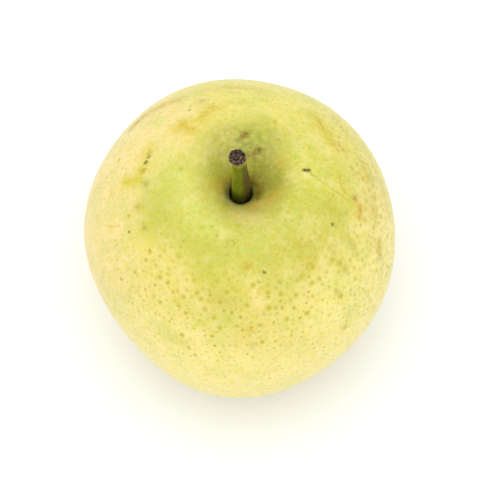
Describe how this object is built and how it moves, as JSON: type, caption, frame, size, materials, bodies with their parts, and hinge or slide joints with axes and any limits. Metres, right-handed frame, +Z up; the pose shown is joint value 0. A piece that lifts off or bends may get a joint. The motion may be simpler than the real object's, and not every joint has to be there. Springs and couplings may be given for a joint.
{
  "type": "pear",
  "caption": "Round yellow-green pear with a short upright stalk in a dished top and a dried eye in the hollow underneath.",
  "frame": {"origin": "on the surface that the pear rests on, under the middle of its bounding box", "axes": "+Z up along the fruit from its flat resting spot to the stalk's cut end; the picture is taken from -Y, high above, and +X is to its right"},
  "size_m": [0.0824, 0.0848, 0.0911],
  "materials": {
    "pear_body": null,
    "stalk": "fresh green woody stalk, slightly ribbed, brown on one side, with a dark dry cut end",
    "calyx": "withered dark brown flower remains, dry and matt"
  },
  "bodies": {
    "root": {"pear_body": "pear_body", "stalk": "stalk", "calyx": "calyx"}
  },
  "joints": []
}
